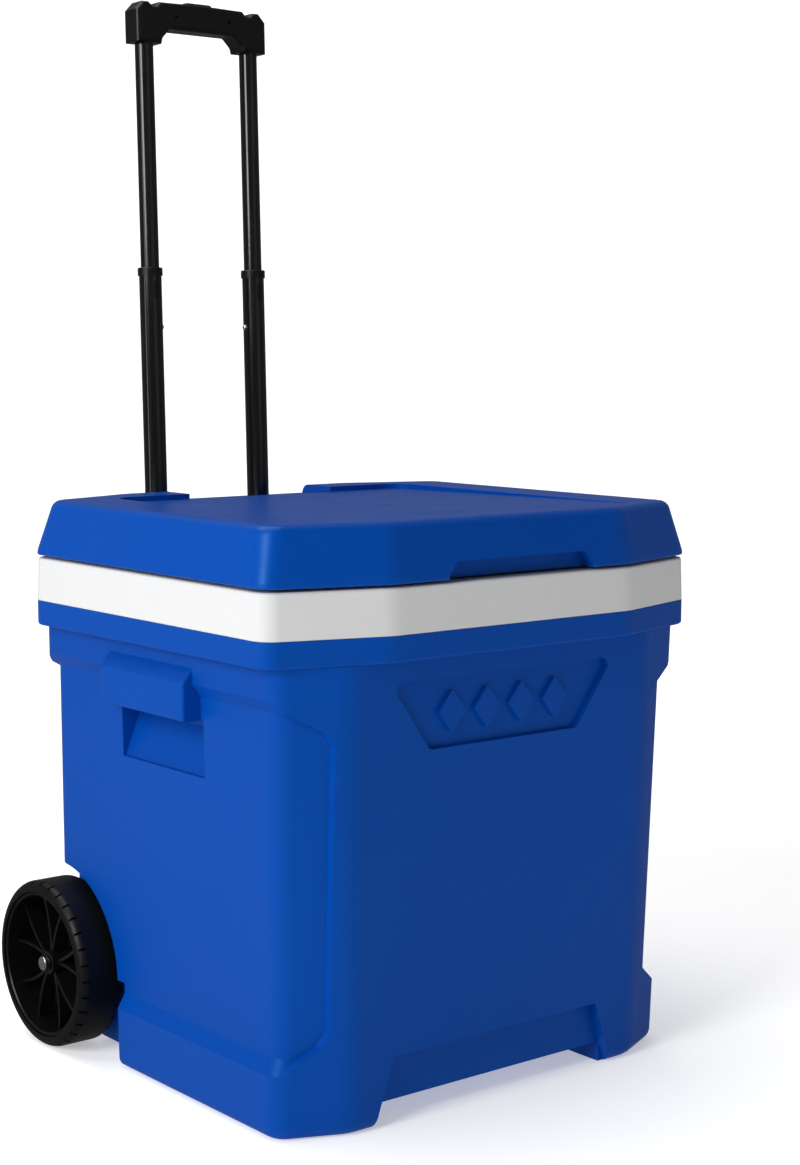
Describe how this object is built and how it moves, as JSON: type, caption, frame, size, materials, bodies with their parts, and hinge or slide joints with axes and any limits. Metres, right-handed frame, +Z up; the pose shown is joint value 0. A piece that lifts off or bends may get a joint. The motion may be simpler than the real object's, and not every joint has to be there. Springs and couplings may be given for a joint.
{
  "type": "wheeled cooler",
  "caption": "Insulated cooler with a hinged lid, moulded side handles, rear wheels and a telescopic pull handle.",
  "frame": {"origin": "centre of the bounding box in plan, on the floor", "axes": "+Z up, front of the cooler at -Y, wheels and pull handle at +Y, right-hand side at +X"},
  "size_m": [0.504, 0.5053, 1.0078],
  "materials": {
    "blue_shell": "fine pebble grain",
    "white_liner": "satin",
    "foam": "closed-cell foam",
    "gasket": "matt",
    "black_plastic": "satin",
    "black_tube": "gloss black",
    "tyre": "satin hard tread",
    "steel": "plated"
  },
  "bodies": {
    "body": {"outer_shell": "blue_shell", "badge_motif": "blue_shell", "liner": "white_liner", "body_foam": "foam", "hinge_bracket_left": "black_plastic", "hinge_bracket_right": "black_plastic", "hinge_pin_left": "steel", "hinge_pin_right": "steel", "hinge_screws": "steel", "axle": "steel", "axle_washers": "steel", "axle_caps": "steel", "axle_bracket_left": "black_plastic", "axle_bracket_right": "black_plastic", "axle_screws": "steel", "handle_housing": "black_plastic", "housing_screws": "steel", "handle_yoke": "black_plastic", "sleeve_left": "black_plastic", "sleeve_right": "black_plastic", "sleeve_collar_left": "black_plastic", "sleeve_collar_right": "black_plastic", "sleeve_cap_left": "black_plastic", "sleeve_cap_right": "black_plastic"},
    "lid": {"lid_shell": "blue_shell", "lid_foam": "foam", "lid_liner": "white_liner", "lid_gasket": "gasket", "lid_leaf_left": "black_plastic", "lid_leaf_right": "black_plastic"},
    "lower_stage": {"lower_tube_left": "black_tube", "lower_tube_right": "black_tube", "tube_clip_left": "black_plastic", "tube_clip_right": "black_plastic", "tube_bushing_left": "black_plastic", "tube_bushing_right": "black_plastic", "detent_ball_left": "steel", "detent_ball_right": "steel"},
    "upper_stage": {"upper_tube_left": "black_tube", "upper_tube_right": "black_tube", "grip_front": "black_plastic", "grip_rear": "black_plastic", "grip_screws": "steel", "button_spring": "steel"},
    "button": {"release_button": "black_plastic"},
    "wheel_left": {"tyre_left": "tyre", "rim_left": "black_plastic"},
    "wheel_right": {"tyre_right": "tyre", "rim_right": "black_plastic"}
  },
  "joints": [
    {"name": "lid_hinge", "type": "hinge", "parent": "body", "child": "lid", "pos_m": [0, 0.17926, 0.47], "axis": [-1, 0, 0], "range_deg": [0, 69]},
    {"name": "lower_slide", "type": "slide", "parent": "body", "child": "lower_stage", "axis": [0, 0.0341, 0.9994], "range_m": [-0.273, 0]},
    {"name": "upper_slide", "type": "slide", "parent": "lower_stage", "child": "upper_stage", "axis": [0, 0.0341, 0.9994], "range_m": [-0.22, 0]},
    {"name": "button_press", "type": "slide", "parent": "upper_stage", "child": "button", "axis": [0, 0.0341, 0.9994], "range_m": [-0.003, 0], "stiffness_N_per_m": 500, "springref_m": 0.001, "deforming": ["button_spring"]},
    {"name": "wheel_left_spin", "type": "hinge", "parent": "body", "child": "wheel_left", "pos_m": [-0.2285, 0.14076, 0.0794], "axis": [1, 0, 0], "continuous": true},
    {"name": "wheel_right_spin", "type": "hinge", "parent": "body", "child": "wheel_right", "pos_m": [0.2285, 0.14076, 0.0794], "axis": [1, 0, 0], "continuous": true}
  ]
}
